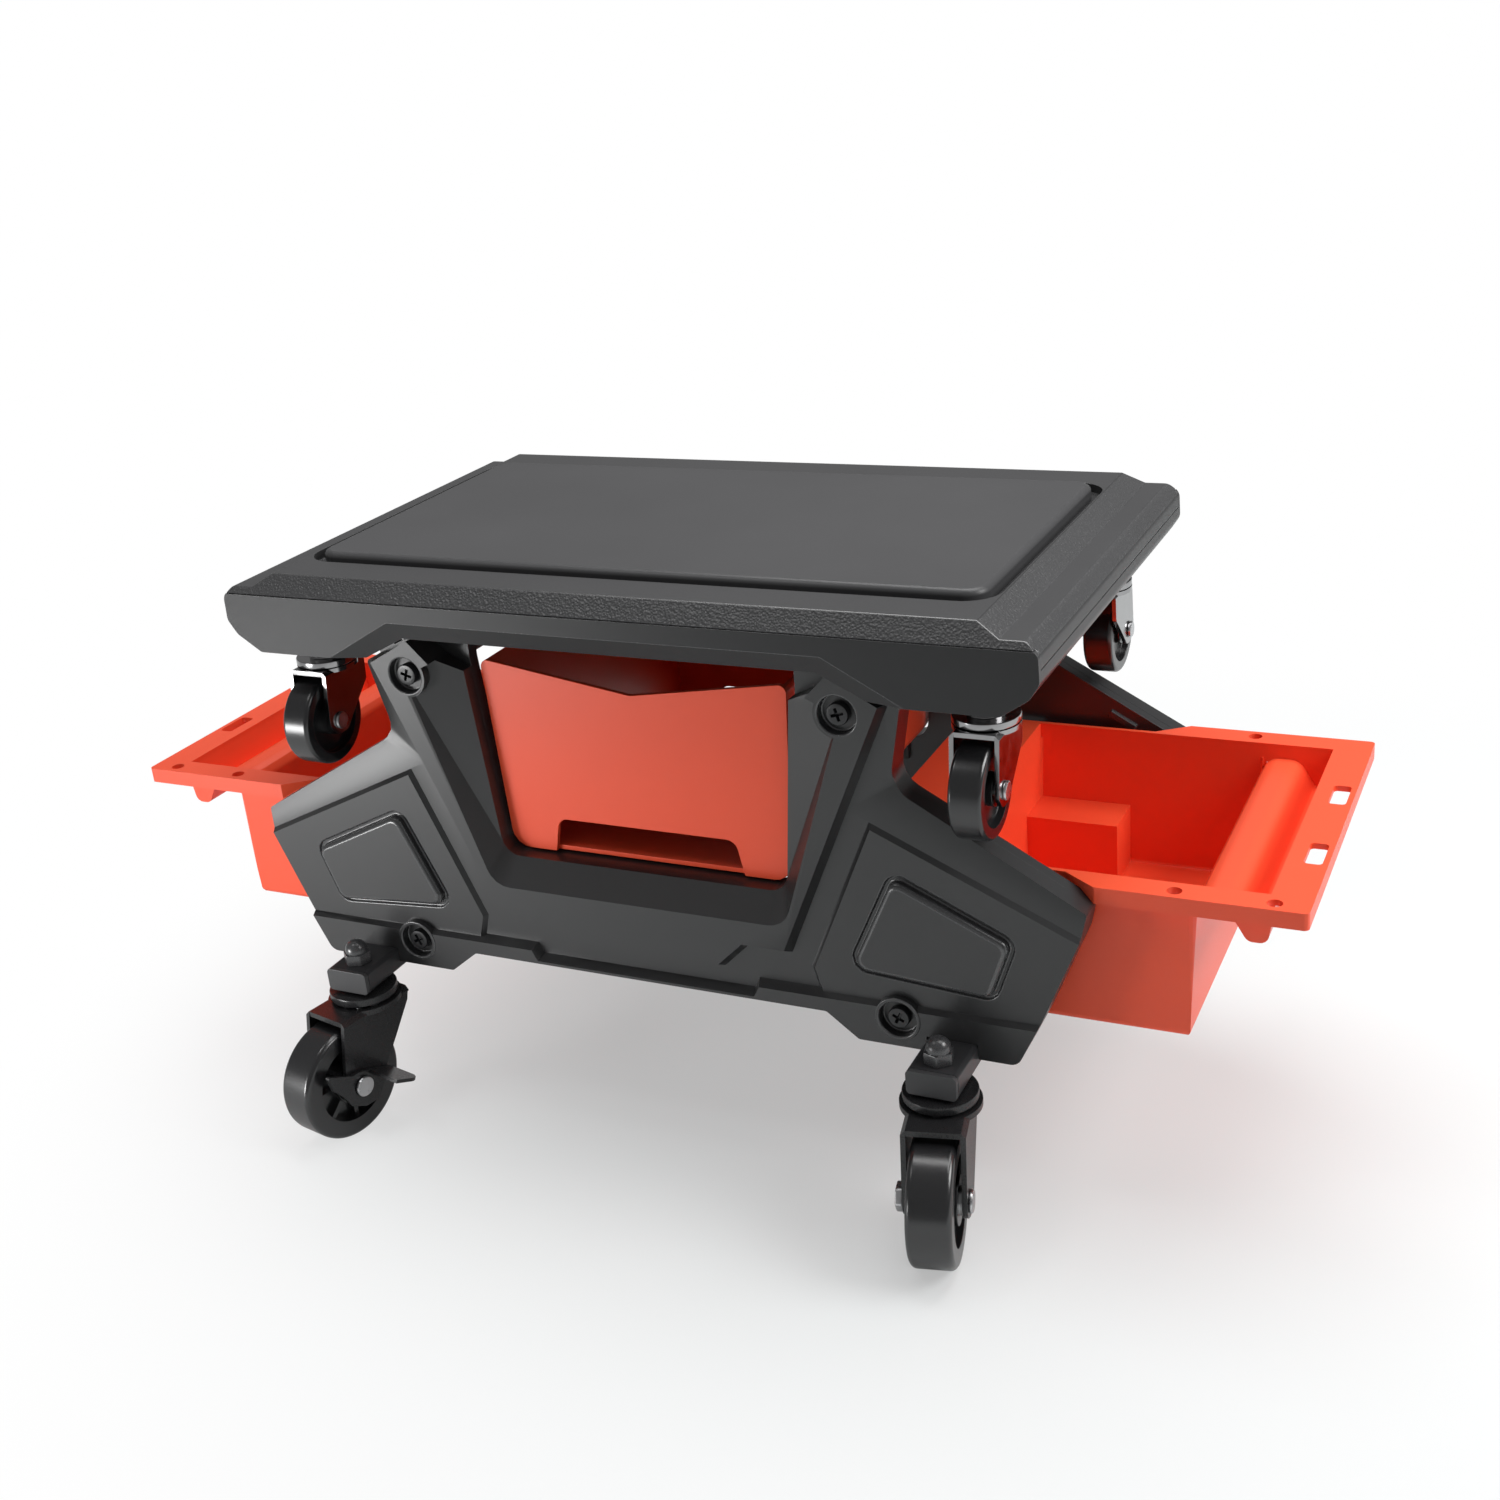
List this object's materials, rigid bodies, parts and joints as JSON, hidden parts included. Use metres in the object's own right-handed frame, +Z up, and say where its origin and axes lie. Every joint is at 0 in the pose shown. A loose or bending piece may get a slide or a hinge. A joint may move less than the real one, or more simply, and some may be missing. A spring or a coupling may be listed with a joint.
{
  "type": "creeper seat",
  "caption": "Rolling mechanic's seat: lift-off moulded seat with its own small casters on a frame of two side panels and swivel casters, with a slide-out bin and end trays.",
  "frame": {"origin": "on the floor below the middle of the seat", "axes": "+X along the length of the seat towards the right-hand tray, +Z up, the front panel faces -Y"},
  "size_m": [0.658, 0.3918, 0.311],
  "materials": {
    "charcoal_plastic": "satin, finely grained",
    "panel_plastic": "satin",
    "black_plastic": "satin",
    "orange_plastic": "satin",
    "black_steel": "semi-gloss black",
    "chrome": "polished",
    "steel": "plain",
    "wheel_plastic": "gloss"
  },
  "bodies": {
    "frame": {"front_outer_shell": "charcoal_plastic", "front_inner_shell": "charcoal_plastic", "rear_outer_shell": "charcoal_plastic", "rear_inner_shell": "charcoal_plastic", "panel_screws": "black_steel", "upper_tie_rods": "black_steel", "lower_tie_rods": "black_steel", "bin_cradle": "black_plastic", "left_foot_tube": "black_steel", "right_foot_tube": "black_steel", "foot_tube_caps": "black_plastic", "foot_tube_screws": "black_steel", "caster_studs": "black_steel", "caster_cap_nuts": "black_steel", "caster_balls": "steel"},
    "seat": {"seat_top_shell": "charcoal_plastic", "seat_bottom_shell": "charcoal_plastic", "seat_panel": "panel_plastic", "seat_screws": "steel", "small_caster_stems": "chrome"},
    "front_right_caster": {"front_right_fork": "black_steel", "front_right_axle": "steel"},
    "front_right_wheel": {"front_right_wheel": "wheel_plastic", "front_right_bush": "steel"},
    "small_front_right_caster": {"small_front_right_fork": "chrome", "small_front_right_axle": "steel"},
    "small_front_right_wheel": {"small_front_right_wheel": "wheel_plastic"},
    "front_left_caster": {"front_left_fork": "black_steel", "front_left_axle": "steel"},
    "front_left_wheel": {"front_left_wheel": "wheel_plastic", "front_left_bush": "steel"},
    "small_front_left_caster": {"small_front_left_fork": "chrome", "small_front_left_axle": "steel"},
    "small_front_left_wheel": {"small_front_left_wheel": "wheel_plastic"},
    "rear_right_caster": {"rear_right_fork": "black_steel", "rear_right_axle": "steel"},
    "rear_right_wheel": {"rear_right_wheel": "wheel_plastic", "rear_right_bush": "steel"},
    "small_rear_right_caster": {"small_rear_right_fork": "chrome", "small_rear_right_axle": "steel"},
    "small_rear_right_wheel": {"small_rear_right_wheel": "wheel_plastic"},
    "rear_left_caster": {"rear_left_fork": "black_steel", "rear_left_axle": "steel"},
    "rear_left_wheel": {"rear_left_wheel": "wheel_plastic", "rear_left_bush": "steel"},
    "small_rear_left_caster": {"small_rear_left_fork": "chrome", "small_rear_left_axle": "steel"},
    "small_rear_left_wheel": {"small_rear_left_wheel": "wheel_plastic"},
    "brake_lever": {"brake_lever": "black_steel"},
    "left_tray": {"left_tray": "orange_plastic"},
    "right_tray": {"right_tray": "orange_plastic"},
    "parts_bin": {"parts_bin": "orange_plastic"}
  },
  "joints": [
    {"name": "seat_lift", "type": "slide", "parent": "frame", "child": "seat", "axis": [0, 0, 1], "range_m": [0, 0.15]},
    {"name": "front_right_swivel", "type": "hinge", "parent": "frame", "child": "front_right_caster", "pos_m": [0.168, -0.137, 0.07], "axis": [0, 0, 1], "continuous": true},
    {"name": "front_right_roll", "type": "hinge", "parent": "front_right_caster", "child": "front_right_wheel", "pos_m": [0.17341, -0.16243, 0.0325], "axis": [0.9781, 0.2079, 0], "continuous": true},
    {"name": "small_front_right_swivel", "type": "hinge", "parent": "seat", "child": "small_front_right_caster", "pos_m": [0.1845, -0.098, 0.25], "axis": [0, 0, 1], "range_deg": [-4, 184]},
    {"name": "small_front_right_roll", "type": "hinge", "parent": "small_front_right_caster", "child": "small_front_right_wheel", "pos_m": [0.1845, -0.11, 0.2235], "axis": [1, 0, 0], "continuous": true},
    {"name": "front_left_swivel", "type": "hinge", "parent": "frame", "child": "front_left_caster", "pos_m": [-0.168, -0.137, 0.07], "axis": [0, 0, 1], "continuous": true},
    {"name": "front_left_roll", "type": "hinge", "parent": "front_left_caster", "child": "front_left_wheel", "pos_m": [-0.17341, -0.16243, 0.0325], "axis": [0.9781, -0.2079, 0], "continuous": true},
    {"name": "small_front_left_swivel", "type": "hinge", "parent": "seat", "child": "small_front_left_caster", "pos_m": [-0.1845, -0.098, 0.25], "axis": [0, 0, 1], "range_deg": [-184, 4]},
    {"name": "small_front_left_roll", "type": "hinge", "parent": "small_front_left_caster", "child": "small_front_left_wheel", "pos_m": [-0.1845, -0.11, 0.2235], "axis": [1, 0, 0], "continuous": true},
    {"name": "rear_right_swivel", "type": "hinge", "parent": "frame", "child": "rear_right_caster", "pos_m": [0.168, 0.137, 0.07], "axis": [0, 0, 1], "continuous": true},
    {"name": "rear_right_roll", "type": "hinge", "parent": "rear_right_caster", "child": "rear_right_wheel", "pos_m": [0.17341, 0.16243, 0.0325], "axis": [-0.9781, 0.2079, 0], "continuous": true},
    {"name": "small_rear_right_swivel", "type": "hinge", "parent": "seat", "child": "small_rear_right_caster", "pos_m": [0.1845, 0.098, 0.25], "axis": [0, 0, 1], "range_deg": [-184, 4]},
    {"name": "small_rear_right_roll", "type": "hinge", "parent": "small_rear_right_caster", "child": "small_rear_right_wheel", "pos_m": [0.1845, 0.11, 0.2235], "axis": [1, 0, 0], "continuous": true},
    {"name": "rear_left_swivel", "type": "hinge", "parent": "frame", "child": "rear_left_caster", "pos_m": [-0.168, 0.137, 0.07], "axis": [0, 0, 1], "continuous": true},
    {"name": "rear_left_roll", "type": "hinge", "parent": "rear_left_caster", "child": "rear_left_wheel", "pos_m": [-0.17341, 0.16243, 0.0325], "axis": [-0.9781, -0.2079, 0], "continuous": true},
    {"name": "small_rear_left_swivel", "type": "hinge", "parent": "seat", "child": "small_rear_left_caster", "pos_m": [-0.1845, 0.098, 0.25], "axis": [0, 0, 1], "range_deg": [-4, 184]},
    {"name": "small_rear_left_roll", "type": "hinge", "parent": "small_rear_left_caster", "child": "small_rear_left_wheel", "pos_m": [-0.1845, 0.11, 0.2235], "axis": [1, 0, 0], "continuous": true},
    {"name": "brake_press", "type": "hinge", "parent": "front_left_caster", "child": "brake_lever", "pos_m": [-0.17341, -0.16243, 0.0325], "axis": [0.9781, -0.2079, 0], "range_deg": [-25, 0]},
    {"name": "left_tray_slide", "type": "slide", "parent": "frame", "child": "left_tray", "axis": [-1, 0, 0], "range_m": [0, 0.09]},
    {"name": "right_tray_slide", "type": "slide", "parent": "frame", "child": "right_tray", "axis": [1, 0, 0], "range_m": [0, 0.09]},
    {"name": "parts_bin_slide", "type": "slide", "parent": "frame", "child": "parts_bin", "axis": [0, -1, 0], "range_m": [0, 0.12]}
  ]
}
